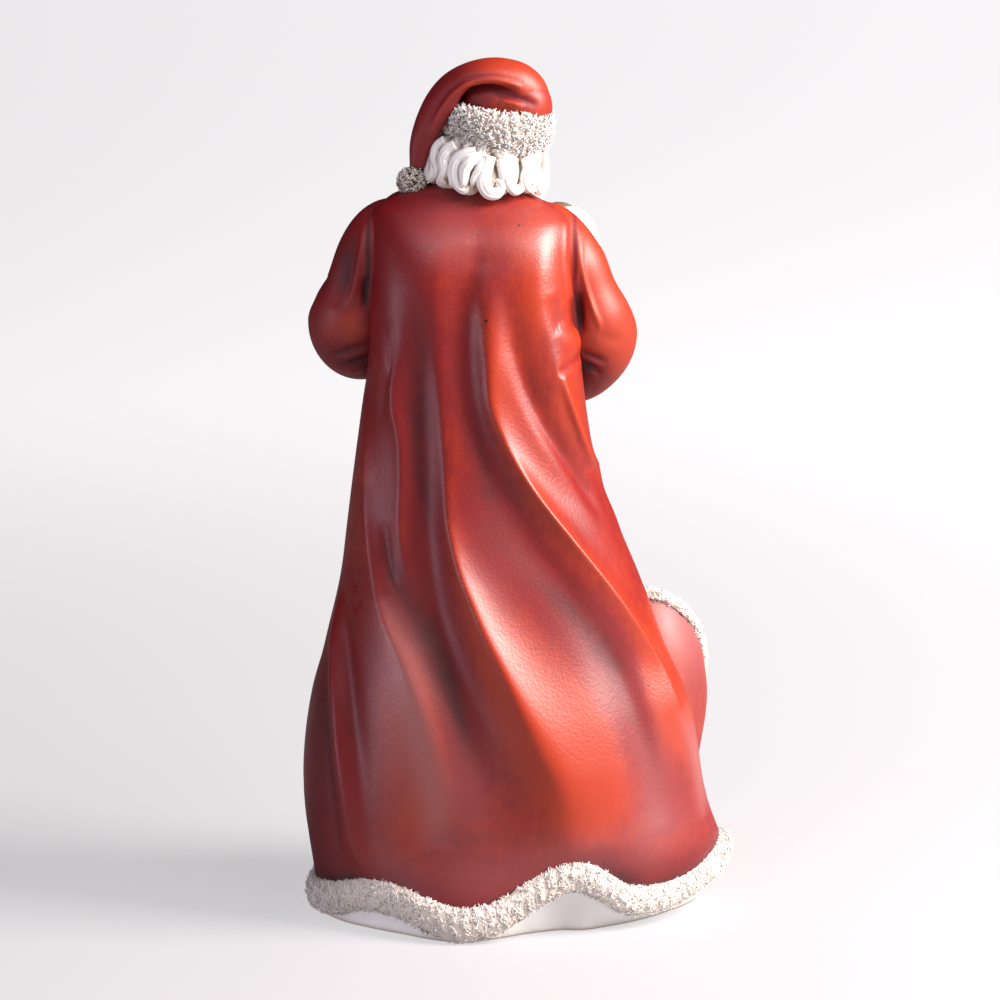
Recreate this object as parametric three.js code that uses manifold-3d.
// A Santa figurine cast in one piece of resin and painted, 300 mm tall.
// It stands in a long wind-swept red coat with a fur hem, holds a puppy on its right arm, and
// has a sack at its right side. Millimetres, +Z up, the face towards -Y, so +X is the figure's
// left hand. The origin is on the floor, under the middle of the figure.

import * as THREE from "three";
import { mergeVertices } from "three/addons/utils/BufferGeometryUtils.js";
import Module from "manifold-3d";

const wasm = await Module();
wasm.setup();

// Driving dimensions of the whole figurine.
const CENTRING = [0.9, 4.9, 0];
const HEM_Z = 10;
const SHOULDER_Z = 258;
const COAT_CROWD = 0.38;
const FUR = { hemThick: 4.2, hemTall: 6.5, cuff: 3.6, placketWide: 4.6, placketThick: 3 };
const ARM_RINGS = { steps: 11, sides: 12, up: [1, 0, 0] };
const ELBOW = { at: 0.47, spread: 0.17, flat: 0.42 };

const DEGREE = Math.PI / 180;
const BACK = 0;
const FRONT = Math.PI;

// A smooth curve through knots [t, value, value...]: a cubic between each two, whose slope at a
// knot is that of the line through its neighbours.
function along(knots, t) {
  const last = knots.length - 1;
  if (t <= knots[0][0]) return knots[0].slice(1);
  if (t >= knots[last][0]) return knots[last].slice(1);
  const i = knots.findIndex((knot) => knot[0] > t) - 1;
  const [a, b] = [knots[i], knots[i + 1]];
  const before = knots[Math.max(i - 1, 0)];
  const after = knots[Math.min(i + 2, last)];
  const span = b[0] - a[0];
  const s = (t - a[0]) / span;
  const leave = s * (1 - s) * (1 - s) * span;
  const arrive = s * s * (s - 1) * span;
  const blend = s * s * (3 - 2 * s);
  return a.slice(1).map((value, n) => {
    const slopeA = (b[n + 1] - before[n + 1]) / (b[0] - before[0]);
    const slopeB = (after[n + 1] - value) / (after[0] - a[0]);
    return value + (b[n + 1] - value) * blend + leave * slopeA + arrive * slopeB;
  });
}

const vector = (values) => new THREE.Vector3(...values);

// A manifold solid from a geometry, turned right side out.
function solid(geometry) {
  geometry.deleteAttribute("normal");
  geometry.deleteAttribute("uv");
  const merged = mergeVertices(geometry, 1e-4);
  const triVerts = new Uint32Array(merged.index.array);
  const vertProperties = new Float32Array(merged.attributes.position.array);
  const made = new wasm.Manifold(new wasm.Mesh({ numProp: 3, vertProperties, triVerts }));
  if (made.volume() > 0) return made;
  return new wasm.Manifold(
    new wasm.Mesh({ numProp: 3, vertProperties, triVerts: triVerts.reverse() }),
  );
}

// A closed skin over rings that all have the same number of points. A row of rings gets a fan
// over each end, and a hoop of rings closes on itself.
function skin(rings, hoop = false) {
  const sides = rings[0].length;
  const points = rings.flat();
  const faces = [];
  const bands = hoop ? rings.length : rings.length - 1;
  for (let r = 0; r < bands; r++) {
    const next = (r + 1) % rings.length;
    for (let k = 0; k < sides; k++) {
      const [a, b] = [r * sides + k, r * sides + ((k + 1) % sides)];
      const [c, d] = [next * sides + k, next * sides + ((k + 1) % sides)];
      faces.push(a, b, d, a, d, c);
    }
  }
  if (!hoop) {
    for (const [first, flip] of [[0, true], [(rings.length - 1) * sides, false]]) {
      const middle = points.length;
      const ring = points.slice(first, first + sides);
      points.push(ring.reduce((sum, p) => sum.add(p), new THREE.Vector3()).divideScalar(sides));
      for (let k = 0; k < sides; k++) {
        const [a, b] = [first + k, first + ((k + 1) % sides)];
        faces.push(...(flip ? [b, a, middle] : [a, b, middle]));
      }
    }
  }
  const geometry = new THREE.BufferGeometry().setFromPoints(points);
  geometry.setIndex(faces);
  return solid(geometry);
}

// Rings of an oval section carried along a path. path holds [t, x, y, z] and sizes
// [t, half width, half thickness]; the thickness stays as near as it can to the up direction.
// relief(t, turn) scales the section, to cut ridges into it.
function sweep(path, sizes, { steps, sides, up = [0, 0, 1], relief = () => 1 }) {
  const rings = [];
  for (let i = 0; i <= steps; i++) {
    const t = i / steps;
    const middle = vector(along(path, t));
    const behind = vector(along(path, Math.max(t - 0.01, 0)));
    const tangent = vector(along(path, Math.min(t + 0.01, 1))).sub(behind).normalize();
    const side = tangent.clone().cross(vector(up)).normalize();
    const lift = side.clone().cross(tangent);
    const [wide, thick] = along(sizes, t);
    const ring = [];
    for (let k = 0; k < sides; k++) {
      const turn = (k / sides) * 2 * Math.PI;
      const reach = relief(t, turn);
      ring.push(
        middle
          .clone()
          .addScaledVector(side, wide * reach * Math.cos(turn))
          .addScaledVector(lift, thick * reach * Math.sin(turn)),
      );
    }
    rings.push(ring);
  }
  return skin(rings);
}

// An ellipsoid of three half sizes about a middle, turned by three angles in degrees.
function blob(middle, radii, turn = [0, 0, 0], [across, down] = [12, 8]) {
  const geometry = new THREE.SphereGeometry(1, across, down);
  geometry.rotateX(90 * DEGREE);
  geometry.scale(...radii);
  geometry.applyMatrix4(
    new THREE.Matrix4().makeRotationFromEuler(
      new THREE.Euler(...turn.map((angle) => angle * DEGREE), "ZYX"),
    ),
  );
  geometry.translate(...middle);
  return solid(geometry);
}

const join = (solids) => solids.reduce((sum, next) => sum.add(next));

// The coat. Its outline is given by height: the side on the figure's left (+X) and on its
// right (-X), the depth at the back and at the front, and how square the section is.
const COAT_SIDES = [
  [0, 72, -72], [10, 72.5, -72], [24, 74, -71.3], [45, 75.3, -65.5], [74, 72.2, -60],
  [95, 67.2, -51], [117, 62.2, -43.5], [138, 59.5, -34.6], [152, 57.7, -28], [174, 54.7, -24.3],
  [202, 51.5, -21.3], [230, 50.9, -18.8], [243, 50.8, -18.4], [248, 50, -14], [251, 46, -8],
  [253.5, 42, -4], [256, 33, 1], [258, 26, 6],
];
const COAT_DEPTHS = [
  [0, 54, 56], [30, 50, 55], [60, 47, 52], [100, 42, 47], [150, 36, 43], [180, 33, 42],
  [205, 31, 38], [225, 28.8, 31.5], [236, 26, 28], [243, 22.6, 25], [249, 17.6, 20.5],
  [254, 12.6, 15.5], [258, 8, 9],
];
const COAT_SQUARE = [[0, 2], [150, 2.2], [210, 2.9], [250, 2.6], [258, 2.2]];

// The cloth swings to the figure's right as it falls: degrees of turn at each height.
const COAT_SWING = [[0, 56], [58, 55], [87, 51], [114, 43], [136, 31], [158, 17], [178, 6], [205, 0]];

// Folds of the coat's back. A line holds [height, place across the figure], read from below
// upwards, rise holds [height, millimetres out], and wide holds [height, the fold's width to the
// figure's left, to its right]. A negative rise is a valley.
const BACK_FOLDS = {
  sweep: {
    line: [
      [47, -63], [71, -55], [92, -46], [115, -32.5], [138, -15.8], [150, -6.8], [160, -0.4],
      [172, 5.8], [184, 10], [198, 11.2], [213, 12.2], [232, 13],
    ],
    rise: [[45, 0], [71, 3.4], [100, 5], [130, 5.4], [160, 5.4], [190, 5], [212, 3], [232, 0]],
    wide: [[47, 9, 7], [97, 11, 7], [118, 10, 7], [138, 6, 5], [160, 4, 4], [232, 3, 5]],
  },
  middle: {
    line: [
      [20, -22], [36, -18.3], [46, -16], [56, -13], [66, -7.8], [77, -2.6], [87, 2], [97, 6.6],
      [107, 11.2], [118, 15.6], [127, 19.2], [138, 22.4], [148, 24], [190, 26.6], [222, 28],
    ],
    rise: [
      [18, 0], [36, 4], [56, 7.4], [80, 9.4], [100, 9.4], [120, 7.6], [138, 5], [160, 2.6],
      [190, 2], [226, 0],
    ],
    wide: [[36, 12, 18], [66, 10, 16], [97, 9, 10], [118, 7, 6], [138, 5, 4.6], [222, 6, 10]],
  },
  left: {
    line: [
      [36, 23], [46, 23.5], [56, 25], [66, 27], [77, 30.4], [87, 34], [97, 38], [107, 43],
      [118, 47], [142, 51], [182, 52.6],
    ],
    rise: [[34, 0], [60, 3.2], [80, 5], [100, 5], [125, 3.4], [160, 2], [188, 0]],
    wide: [[40, 26, 11], [97, 22, 8], [130, 11, 5], [182, 9, 6]],
  },
  leftSmall: {
    line: [[116, 35], [137, 39.6], [158, 39.6], [171, 40], [183, 42.4], [208, 44.4]],
    rise: [[112, 0], [130, 1.6], [170, 2.2], [195, 1.6], [212, 0]],
    wide: [[112, 3, 4], [212, 3, 4]],
  },
  edge: {
    line: [[15, 55], [45, 58.2], [72, 61], [98, 62.3], [114, 61.5]],
    rise: [[8, 1], [45, 3.4], [85, 3.6], [116, 0]],
    wide: [[8, 3, 3.4], [116, 3, 3.4]],
  },
  right: {
    line: [[140, -37], [159, -26.5], [179, -18], [199, -12], [222, -8]],
    rise: [[132, 0], [155, 2], [185, 2.4], [224, 0]],
    wide: [[140, 5, 7], [222, 6, 8]],
  },
  valleyMiddle: {
    line: [
      [40, -47], [72, -41], [95, -32], [118, -18], [138, -3], [160, 5], [185, 14], [219, 17], [238, 15],
    ],
    rise: [[36, 0], [72, -1.6], [118, -1], [150, -1.4], [180, -3], [210, -3.4], [238, 0]],
    wide: [[40, 8, 6], [238, 9, 5]],
  },
  valleyLeft: {
    line: [[35, 5], [56, 9], [77, 15.5], [97, 23], [118, 28.5], [138, 31], [179, 33], [219, 33]],
    rise: [[30, 0], [60, -3], [97, -5], [140, -3.4], [190, -2.4], [224, 0]],
    wide: [[35, 9, 11], [118, 8, 9], [219, 7, 7]],
  },
  valleyRight: {
    line: [[142, -29], [159, -19.5], [179, -8], [199, 0], [222, 4]],
    rise: [[138, 0], [155, -1.6], [200, -1.6], [226, 0]],
    wide: [[142, 4, 5], [222, 4, 5]],
  },
  valleyEdge: {
    line: [[28, 52.5], [66, 55.6], [100, 58.2], [113, 58.7]],
    rise: [[12, 0], [50, -1.4], [95, -1.8], [118, 0]],
    wide: [[12, 4, 5], [118, 4, 5]],
  },
  shoulderLeft: {
    line: [[215, 26], [245, 27]],
    rise: [[203, 0], [228, 1.6], [247, 0]],
    wide: [[203, 10, 9], [247, 10, 9]],
  },
  shoulderRight: {
    line: [[215, -6], [245, -6]],
    rise: [[203, 0], [230, 2], [247, 0]],
    wide: [[203, 9, 9], [247, 9, 9]],
  },
};

// The radius of a ridge's edge: [height, radius].
const FOLD_EDGE = [[30, 6], [60, 4], [90, 1.4], [150, 1], [180, 1.6], [215, 4]];

// Folds of the coat's front and sides, which the picture doesn't show. Their lines hold
// [height, bearing in degrees from the middle of the back], and they open out downwards.
const FRONT_FOLDS = [118, 142, 205, 226, 249].map((bearing, n) => ({
  line: [[0, bearing], [80, bearing + 4], [150, 180 + (bearing - 180) * 0.8]],
  rise: [[0, 4.4], [60, 4], [120, 2.4 - (n % 2) * 0.8], [172, 0]],
  wide: [[0, 6, 6], [180, 6, 6]],
}));

// How far a fold stands out at a distance from its line: a ridge falls away exponentially from
// its rounded edge, and a valley is a smooth bell.
function foldOut(fold, offset, z) {
  const [rise] = along(fold.rise, z);
  const [radius] = along(FOLD_EDGE, z);
  const wide = along(fold.wide, z)[offset > 0 ? 1 : 0];
  if (rise < 0) return rise * Math.exp(-Math.pow(offset / wide, 2));
  return rise * Math.exp((radius - Math.hypot(offset, radius)) / wide);
}

// Where the coat's surface is at a bearing from the middle of the back, turning towards the
// figure's right, and a height.
function coatPoint(bearing, z) {
  const [left, right] = along(COAT_SIDES, z);
  const [back, front] = along(COAT_DEPTHS, z);
  const power = 2 / along(COAT_SQUARE, z)[0];
  const [middle, half] = [(left + right) / 2, (left - right) / 2];
  const [sin, cos] = [Math.sin(bearing), Math.cos(bearing)];
  const across = Math.sign(sin) * Math.pow(Math.abs(sin), power);
  const deep = Math.sign(cos) * Math.pow(Math.abs(cos), power);
  const depth = cos > 0 ? back : front;
  const around = (half + depth) / 2;
  let out = 0;
  const behind = Math.max(0, Math.min(1, (cos + 0.3) / 0.3));
  if (behind > 0) {
    for (const fold of Object.values(BACK_FOLDS)) {
      const share = (middle - along(fold.line, z)[0]) / half;
      const line = Math.asin(Math.max(-1, Math.min(1, share)));
      const offset = (Math.asin(Math.max(-1, Math.min(1, across))) - line) * around;
      out += behind * foldOut(fold, offset, z);
    }
  }
  const turned = (bearing / DEGREE + 720) % 360;
  for (const fold of FRONT_FOLDS) {
    out += foldOut(fold, (turned - along(fold.line, z)[0]) * DEGREE * around, z);
  }
  const normal = new THREE.Vector2(-across / half, deep / depth).normalize();
  return new THREE.Vector3(
    middle - half * across + normal.x * out,
    depth * deep + normal.y * out,
    z,
  );
}

// The hem's middle line: [bearing from the back about HEM_MIDDLE, distance, height].
const HEM_MIDDLE = [4, 0];
const HEM_LINE = [
  [-86, 67.5, 5.4], [-66, 64, 8.8], [-53, 59.4, 12.6], [-40, 56.5, 11.6], [-27, 56.4, 8.2],
  [-16, 56.3, 6.2], [-2, 53.5, 9.6], [9, 51.7, 15.8], [25, 52.8, 22.6], [36, 55.5, 18.4],
  [47, 57, 12], [62, 61.5, 11.2], [76, 67.5, 13.2], [87, 74, 16.8], [95, 77.5, 19.2],
  [106, 72, 14.4], [125, 63, 8], [145, 58, 7.5], [162, 57, 11], [180, 56, 7.5], [200, 57.5, 11],
  [218, 60, 8], [238, 64, 8.5], [256, 67, 6],
];
const HEM_KNOTS = [
  ...HEM_LINE.slice(-2).map(([b, ...rest]) => [b - 360, ...rest]),
  ...HEM_LINE,
  ...HEM_LINE.slice(0, 2).map(([b, ...rest]) => [b + 360, ...rest]),
];

function hemPoint(bearing) {
  const turned = (((bearing / DEGREE + 86) % 360) + 360) % 360 - 86;
  const [distance, height] = along(HEM_KNOTS, turned);
  return new THREE.Vector3(
    HEM_MIDDLE[0] - distance * Math.sin(bearing),
    HEM_MIDDLE[1] + distance * Math.cos(bearing),
    height,
  );
}

// The coat runs from the hem's line up to the neck, and eases from the hem's plan to its own
// section over the lowest 35 mm.
function makeCoat(sides, rows) {
  const ease = 35;
  const heights = [
    [0, 0], [0.15, ease], [0.77, 234], [0.84, 243], [0.9, 248.5], [0.95, 253], [1, SHOULDER_Z],
  ];
  const rings = [];
  for (let i = 0; i <= rows; i++) {
    const ring = [];
    const [level] = along(heights, i / rows);
    for (let k = 0; k < sides; k++) {
      const turn = (k / sides) * 2 * Math.PI;
      const swing = along(COAT_SWING, level)[0] * DEGREE;
      const bearing = turn - COAT_CROWD * Math.sin(turn) + swing;
      const hem = hemPoint(bearing);
      const share = Math.min(level / ease, 1);
      const z = level < ease ? hem.z + (ease - hem.z) * share : level;
      const own = coatPoint(bearing, Math.max(z, HEM_Z));
      const keep = Math.pow(1 - share, 2);
      hem.z = z;
      ring.push(own.setZ(z).lerp(hem, keep));
    }
    rings.push(ring);
  }
  return skin(rings);
}

// The white foot under the hem: the hem's plan, drawn in by [bearing, millimetres], standing on
// the floor. Its wall leans in from the fur to the floor.
const FOOT_INSET = [
  [-86, 0], [-66, 1.3], [-41, 1], [-16, 1.2], [-2, 6], [12, 9.5], [27, 11.3], [36, 9.5], [62, 9],
  [88, 10], [110, 8], [180, 5], [250, 2], [274, 0],
];

function makeFoot(sides) {
  return skin(
    [-3, 0, 4, 16].map((z) => {
      const ring = [];
      for (let k = 0; k < sides; k++) {
        const bearing = (k / sides) * 2 * Math.PI;
        const hem = hemPoint(bearing);
        const reach = Math.hypot(hem.x - HEM_MIDDLE[0], hem.y - HEM_MIDDLE[1]);
        const turned = (((bearing / DEGREE + 86) % 360) + 360) % 360 - 86;
        const [inset] = along(FOOT_INSET, turned);
        const up = Math.max(0, Math.min(1, z / (hem.z - 3)));
        const pull = (reach - inset + (inset - 1.5) * up) / reach;
        ring.push(
          new THREE.Vector3(
            HEM_MIDDLE[0] + (hem.x - HEM_MIDDLE[0]) * pull,
            HEM_MIDDLE[1] + (hem.y - HEM_MIDDLE[1]) * pull,
            Math.min(z, hem.z),
          ),
        );
      }
      return ring;
    }),
  );
}

// The fur along the hem: an oval section carried round the hem's line.
function makeHemFur(steps, sides) {
  const rings = [];
  for (let i = 0; i < steps; i++) {
    const bearing = (i / steps) * 2 * Math.PI;
    const hem = hemPoint(bearing);
    const out = new THREE.Vector3(-Math.sin(bearing), Math.cos(bearing), 0);
    const tuft = 1 + 0.07 * (i % 2 ? 1 : -1);
    const ring = [];
    for (let k = 0; k < sides; k++) {
      const turn = (k / sides) * 2 * Math.PI;
      ring.push(
        hem
          .clone()
          .addScaledVector(out, FUR.hemThick * tuft * Math.cos(turn))
          .setZ(Math.max(hem.z + FUR.hemTall * Math.sin(turn), 0.1)),
      );
    }
    rings.push(ring);
  }
  return skin(rings, true);
}

// The sleeves: wide tubes from the shoulder over the elbow to the wrist.
const LEFT_ARM = {
  path: [
    [0, 32, -4, 243], [0.1, 43.5, -2.6, 238], [0.21, 51, -0.5, 227.5], [0.36, 55.5, -3, 214.5],
    [0.5, 57, -10.5, 206], [0.66, 53.5, -22, 204], [0.84, 44, -34, 206], [1, 34, -43, 209],
  ],
  sizes: [
    [0, 5, 5], [0.05, 11, 11], [0.1, 13.7, 13.7], [0.16, 14, 14], [0.28, 13, 13], [0.36, 15.2, 15],
    [0.45, 17, 16.2], [0.7, 18.5, 15.5], [1, 15, 13],
  ],
  hand: [27, -48, 211],
  thumb: [29, -49, 218],
};
const RIGHT_ARM = {
  path: [
    [0, 1, -4, 243], [0.1, -10, -2.6, 238], [0.21, -18.5, -0.5, 226.5], [0.36, -24, -3, 212],
    [0.5, -25.5, -10, 203.5], [0.66, -23, -22, 198.5], [0.84, -17.5, -32.5, 195], [1, -11, -40, 193],
  ],
  sizes: [
    [0, 4, 4], [0.05, 9.5, 9.5], [0.1, 12, 12], [0.2, 13, 13], [0.28, 12.6, 12.6], [0.36, 15, 14.6],
    [0.45, 16.6, 16.2], [0.7, 20, 17], [0.85, 20, 16.8], [1, 19.5, 16.5],
  ],
  hand: [-2, -47, 196],
  thumb: [-4, -49, 203],
};

// The sleeve's section is flattened inside the bend of the elbow, where turn is zero.
function sleeveRelief(t, turn) {
  const near = Math.exp(-Math.pow((t - ELBOW.at) / ELBOW.spread, 2));
  return 1 - ELBOW.flat * near * Math.max(0, Math.cos(turn));
}

function makeArm(arm) {
  const wrist = vector(arm.path.at(-1).slice(1));
  const reach = vector(arm.hand).sub(wrist);
  const cuffPath = [[0, ...wrist.clone().addScaledVector(reach, -0.25)], [1, ...wrist.clone().addScaledVector(reach, 0.3)]];
  const [wide, thick] = arm.sizes.at(-1).slice(1);
  const cuffSizes = [
    [0, wide - 1, thick - 1], [0.25, wide + 2.4, thick + 2.4], [0.75, wide + 2.4, thick + 2.4],
    [1, wide - 1.5, thick - 1.5],
  ];
  return join([
    sweep(arm.path, arm.sizes, { ...ARM_RINGS, relief: sleeveRelief }),
    sweep(cuffPath, cuffSizes, { steps: 3, sides: 12, up: [1, 0, 0] }),
    blob(arm.hand, [10, 7.5, 7], [0, 0, Math.atan2(reach.y, reach.x) / DEGREE], [8, 6]),
    blob(arm.thumb, [3, 5, 3], [0, 0, 20], [6, 4]),
  ]);
}

// The head looks a little to the figure's right and leans that way. Its own frame has its
// origin in the middle of the skull.
const HEAD = new THREE.Matrix4()
  .makeTranslation(7, -5, 268)
  .multiply(new THREE.Matrix4().makeRotationY(-5 * DEGREE))
  .multiply(new THREE.Matrix4().makeRotationZ(-10 * DEGREE));
const onHead = (x, y, z) => vector([x, y, z]).applyMatrix4(HEAD).toArray();

// A band of fur round the head: it sits lower at the nape than over the brow.
const BAND = { middle: [7.3, -3, 277], reach: [16.2, 17], tall: 7.8, thick: 3.4, nod: -8.5, lean: -6 };

function bandPoint(bearing, out, up) {
  return new THREE.Vector3(
    -(BAND.reach[0] + out) * Math.sin(bearing),
    (BAND.reach[1] + out) * Math.cos(bearing),
    up,
  )
    .applyEuler(new THREE.Euler(BAND.nod * DEGREE, BAND.lean * DEGREE, 0, "ZYX"))
    .add(vector(BAND.middle));
}

function makeBand(steps, sides) {
  const rings = [];
  for (let i = 0; i < steps; i++) {
    const bearing = (i / steps) * 2 * Math.PI;
    const ring = [];
    for (let k = 0; k < sides; k++) {
      const turn = (k / sides) * 2 * Math.PI;
      const bump = 1 + 0.06 * ((i + k) % 2 ? 1 : -1);
      ring.push(
        bandPoint(bearing, BAND.thick * bump * Math.cos(turn), BAND.tall * bump * Math.sin(turn)),
      );
    }
    rings.push(ring);
  }
  return skin(rings, true);
}

// The hat: a dome in the band, and a roll that starts on the dome's right, folds over its top
// and falls past the left ear to a fur ball on the shoulder.
const HAT_ROLL = [
  [0, -2.4, -2, 274], [0.12, -4.4, 1, 286], [0.24, -1.5, 3.4, 292.2], [0.36, 4.5, 5, 295.2],
  [0.48, 11, 5.6, 295.8], [0.58, 17.3, 5.4, 294.2], [0.68, 22.6, 4.8, 290.4], [0.78, 26.9, 4.2, 284.4],
  [0.87, 30.8, 4, 276.8], [0.94, 33.4, 4, 270], [1, 34.6, 4, 262.5],
];
const HAT_ROLL_SIZES = [
  [0, 8, 9], [0.12, 6.8, 8], [0.24, 5.6, 8], [0.36, 4.7, 7.6], [0.48, 4.2, 7], [0.58, 4.1, 6.4],
  [0.68, 4.8, 5.8], [0.78, 5.4, 5.4], [0.87, 5, 4.8], [0.94, 4, 3.8], [1, 2.8, 2.8],
];
const FUR_BALL = { middle: [36.6, 4, 257.6], radius: 4.8 };

function makeHat() {
  return join([
    blob([4.6, -4, 281], [16.2, 15, 15], [0, 0, 0], [14, 9]),
    sweep(HAT_ROLL, HAT_ROLL_SIZES, { steps: 11, sides: 8, up: [0, 1, 0] }),
    blob(FUR_BALL.middle, Array(3).fill(FUR_BALL.radius), [20, 30, 0], [8, 6]),
    makeBand(24, 6),
  ]);
}

// Hair hangs from under the band to the shoulders: a thick curtain round the back and sides of
// the head, cut into rounded locks that sway as they fall and end in scallops. Across the
// back, each second lock ends in a hook that curls back up.
const HAIR = {
  middle: [12, -2], reach: [17.8, 16.6], front: 6, top: 275, low: 253.4, locks: 16, cut: 2.4,
  levels: [[0, -2.5, 275], [0.2, 1, 271], [0.5, 2.6, 263], [0.8, 2.8, 256.5], [1, -1.5, 253]],
};
const HOOK = { count: 5, spread: 54, wide: 2.5, tall: 4.4, thick: 1.9, out: 1.8 };

function hairPoint(bearing, out, z) {
  const deep = Math.cos(bearing) > 0 ? HAIR.reach[1] + out : HAIR.front;
  return new THREE.Vector3(
    HAIR.middle[0] - (HAIR.reach[0] + out) * Math.sin(bearing) - (z - HAIR.low) * 0.1,
    HAIR.middle[1] + deep * Math.cos(bearing),
    z,
  );
}

function makeHair(rows, sides) {
  const rings = [];
  for (let i = 0; i <= rows; i++) {
    const [out, z] = along(HAIR.levels, i / rows);
    const ring = [];
    for (let k = 0; k < sides; k++) {
      const bearing = (k / sides) * 2 * Math.PI;
      const sway = 0.9 * Math.sin((i / rows) * 5 + 3 * bearing);
      const round = Math.abs(Math.cos((HAIR.locks / 2) * bearing + sway));
      ring.push(hairPoint(bearing, out - HAIR.cut * (1 - round), z + (i === rows ? 1.6 : 0) * (1 - round)));
    }
    rings.push(ring);
  }
  const hooks = [];
  for (let n = 0; n < HOOK.count; n++) {
    const place = ((n / (HOOK.count - 1)) * 2 - 1) * HOOK.spread * DEGREE;
    const hand = n % 2 ? 1 : -1;
    const path = [[0, -1, 1.7], [0.3, -1, 0.5], [0.55, -0.2, 0], [0.8, 0.8, 0.45], [1, 0.5, 1.1]].map(
      ([t, side, up]) => [
        t,
        ...hairPoint(place + (hand * side * HOOK.wide) / HAIR.reach[0], HOOK.out, HAIR.low + up * HOOK.tall),
      ],
    );
    hooks.push(sweep(path, [[0, HOOK.thick, 1.4], [1, HOOK.thick, 1.6]], { steps: 4, sides: 5, up: [0, 1, 0] }));
  }
  return join([skin(rings), ...hooks]);
}

// The face: a skull, a nose, cheeks, two brows, a moustache in two tails, and a long beard
// that lies on the chest in wavy locks.
const BEARD = {
  path: [[0, 7, -12, 265], [0.3, 7.4, -20, 252], [0.6, 8, -27.5, 239], [0.85, 8.6, -34, 226], [1, 8.6, -37, 217]],
  sizes: [[0, 5, 10], [0.15, 8.5, 13.6], [0.4, 10, 15], [0.65, 9, 12], [0.85, 6.4, 7.4], [1, 2, 2]],
  locks: 8,
  depth: 0.11,
};

function beardRelief(t, turn) {
  return 1 + BEARD.depth * Math.sin(BEARD.locks * turn + 1.6 * Math.sin(9 * t)) * Math.min(1, 5 * t);
}

function lockOnHead(points, sizes) {
  const path = points.map(([t, ...place]) => [t, ...onHead(...place)]);
  return sweep(path, sizes, { steps: 4, sides: 5, up: [0, 1, 0] });
}

function makeFace() {
  const parts = [
    blob(onHead(0, 0, 0), [13.4, 14.6, 15], [0, 0, 0], [8, 6]),
    blob(onHead(0, -15.6, -1.5), [2.6, 3, 2.8], [0, 0, 0], [7, 5]),
    sweep(BEARD.path, BEARD.sizes, { steps: 8, sides: 24, up: [1, 0, 0], relief: beardRelief }),
  ];
  for (const side of [-1, 1]) {
    parts.push(blob(onHead(side * 6.4, -11.6, -2.6), [3.8, 3.6, 3.2], [0, 0, 0], [7, 5]));
    parts.push(
      lockOnHead(
        [[0, side * 1.6, -14, 4], [0.5, side * 5, -14, 5.6], [1, side * 9, -11, 3.6]],
        [[0, 0.9, 0.9], [0.5, 1.5, 1.3], [1, 0.5, 0.5]],
      ),
    );
    parts.push(
      lockOnHead(
        [[0, side * 0.4, -17.5, -4.4], [0.35, side * 4, -18.4, -6.4], [0.7, side * 8.4, -17, -9.6], [1, side * 11.5, -14.5, -8.6]],
        [[0, 1.6, 1.8], [0.35, 2.6, 2.8], [0.7, 1.9, 2], [1, 0.6, 0.6]],
      ),
    );
  }
  return join(parts);
}

// The puppy sits on the right sleeve with its back to the figure's shoulder.
function makePuppy() {
  const leg = (x, foot) =>
    sweep(
      [[0, x, -44, 226], [0.5, x, -51.5, 220], [1, ...foot]],
      [[0, 3.4, 3.4], [0.6, 2.8, 2.8], [1, 3.2, 2.4]],
      { steps: 3, sides: 6, up: [1, 0, 0] },
    );
  const ear = (side) =>
    sweep(
      [[0, -15 + side * 5.6, -51.5, 241], [0.5, -15 + side * 8.6, -53, 237], [1, -15 + side * 8.6, -54.5, 231]],
      [[0, 1.6, 2], [0.6, 1.7, 4], [1, 0.8, 1.6]],
      { steps: 3, sides: 6, up: [0, 1, 0] },
    );
  return join([
    blob([-18.6, -38.5, 229.5], [11.2, 12, 15.6], [14, 0, 0], [9, 6]),
    blob([-15, -51, 237.5], [8.4, 8.6, 8], [0, 0, 0], [9, 6]),
    blob([-14.4, -59, 234.6], [4.2, 5, 3.8], [0, 0, 0], [7, 5]),
    leg(-24, [-24.5, -50, 213]),
    leg(-13.5, [-13, -51, 212]),
    ear(-1),
    ear(1),
  ]);
}

// The sack leans on the coat with its mouth open to the front. Its sections are ovals that
// tip forward: [t, x, y, z of the middle, half width, half length, tip in degrees].
const SACK = [
  [0, -43, -37, -2, 15, 15, 0], [0.1, -43, -37, 4, 18, 18.5, 2], [0.3, -43.5, -37, 22, 19.6, 21.5, 8],
  [0.55, -44.5, -38, 46, 22.2, 25.5, 26], [0.8, -45.2, -40, 66, 24, 32, 44],
  [1, -45.4, -44, 80, 22.2, 34, 55],
];

function sackRing(t, shrink, sides) {
  const [x, y, z, wide, long, tip] = along(SACK, t);
  const ring = [];
  for (let k = 0; k < sides; k++) {
    const turn = (k / sides) * 2 * Math.PI;
    const up = (long - shrink) * Math.sin(turn);
    ring.push(
      new THREE.Vector3(
        x + (wide - shrink) * Math.cos(turn),
        y + up * Math.cos(tip * DEGREE),
        z + up * Math.sin(tip * DEGREE),
      ),
    );
  }
  return ring;
}

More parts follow.
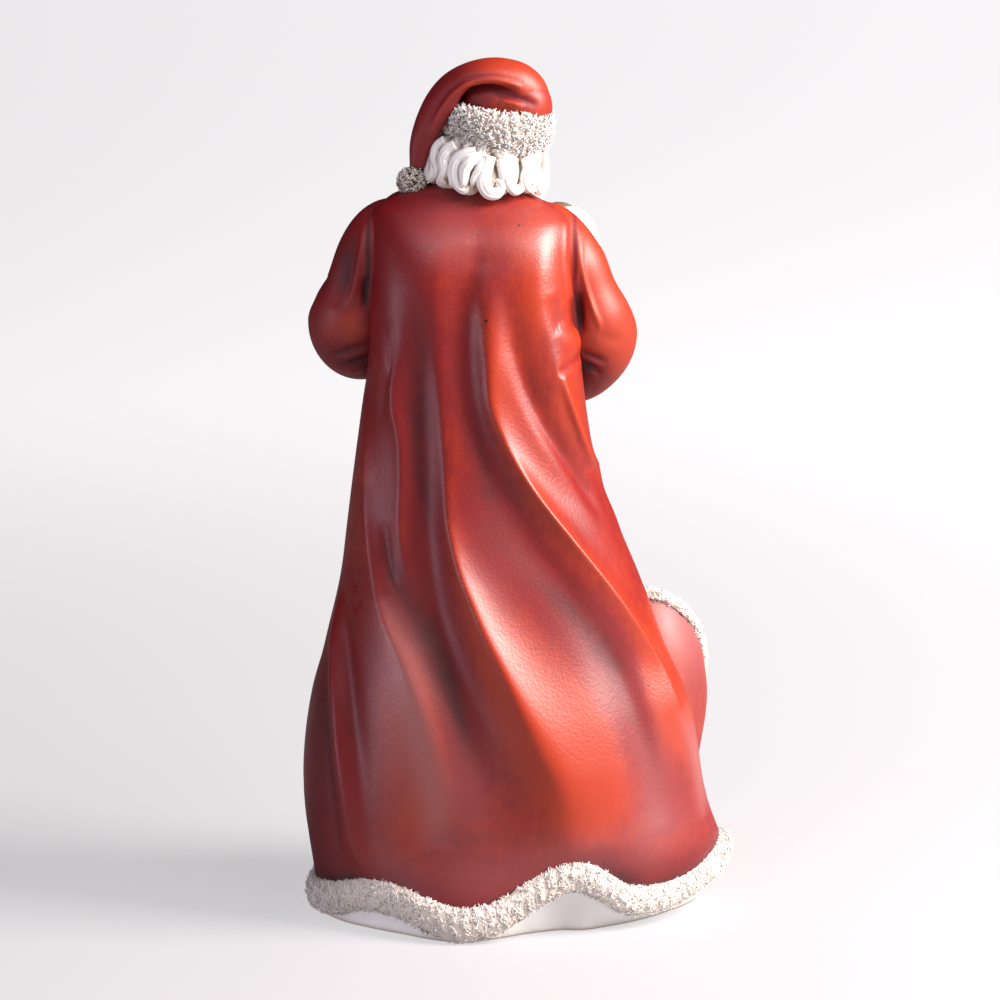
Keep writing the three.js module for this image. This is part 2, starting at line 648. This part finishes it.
function makeSack(sides) {
  const wall = 3;
  const levels = [0, 0.1, 0.35, 0.6, 0.82, 1];
  const body = skin(levels.map((t) => sackRing(t, 0, sides)));
  const mouth = sackRing(1, 0, 18);
  const rim = skin(
    mouth.map((point, i) => {
      const middle = vector(SACK.at(-1).slice(1, 4));
      const out = point.clone().sub(middle).normalize();
      const normal = new THREE.Vector3(0, -Math.sin(55 * DEGREE), Math.cos(55 * DEGREE));
      const bump = i % 2 ? 1.08 : 0.94;
      return [0, 1, 2, 3, 4].map((k) =>
        point
          .clone()
          .addScaledVector(out, FUR.cuff * bump * Math.cos((k / 5) * 2 * Math.PI))
          .addScaledVector(normal, FUR.cuff * bump * Math.sin((k / 5) * 2 * Math.PI)),
      );
    }),
    true,
  );
  const normal = new THREE.Vector3(0, -Math.sin(55 * DEGREE), Math.cos(55 * DEGREE));
  const hollow = skin([
    sackRing(0.86, wall + 5, sides),
    sackRing(1, wall, sides),
    sackRing(1, wall, sides).map((point) => point.addScaledVector(normal, 8)),
  ]);
  return join([body, rim]).subtract(hollow);
}

// The fur down the coat's front, from under the beard to the hem.
function makePlacket() {
  const path = [];
  for (const [t, z] of [[0, 18], [0.2, 50], [0.4, 95], [0.6, 140], [0.8, 180], [1, 222]]) {
    path.push([t, ...coatPoint(FRONT, z).add(vector([0, -0.6, 0]))]);
  }
  const { placketWide, placketThick } = FUR;
  const sizes = [[0, placketWide, placketThick], [1, placketWide, placketThick]];
  return sweep(path, sizes, { steps: 9, sides: 6, up: [0, 1, 0] });
}

// The toes of two boots under the front hem.
function makeBoots() {
  return join(
    [-9, 17].map((x) => blob([x, -56, 4], [9, 13, 8], [0, 0, x > 0 ? 8 : -8], [8, 5])),
  );
}

// All of it is one casting with a flat underside, moved so that its outline is centred on the
// origin.
const FLOOR = solid(new THREE.BoxGeometry(400, 400, 60).translate(0, 0, -30));
const figurine = join([
  makeCoat(56, 19),
  makeFoot(36),
  makeHemFur(56, 5),
  makePlacket(),
  makeBoots(),
  makeArm(LEFT_ARM),
  makeArm(RIGHT_ARM),
  makeFace(),
  makeHair(4, 48),
  makeHat(),
  makePuppy(),
  makeSack(16),
]).subtract(FLOOR);

// Pockets closed off between parts that overlap are filled, which leaves the outer shell.
const shells = figurine.translate(CENTRING).decompose().filter((shell) => shell.volume() > 0);

function geometryOf(made) {
  const { numProp, vertProperties, triVerts } = made.getMesh();
  const geometry = new THREE.BufferGeometry();
  geometry.setAttribute("position", new THREE.BufferAttribute(vertProperties, numProp));
  geometry.setIndex(new THREE.BufferAttribute(triVerts, 1));
  geometry.computeVertexNormals();
  return geometry;
}

const paint = new THREE.MeshStandardMaterial({ color: 0xb3221c, roughness: 0.4, metalness: 0 });
const santa = new THREE.Mesh(geometryOf(join(shells)), paint);
santa.name = "santa_figurine";

const group = new THREE.Group();
group.add(santa);

export default group;
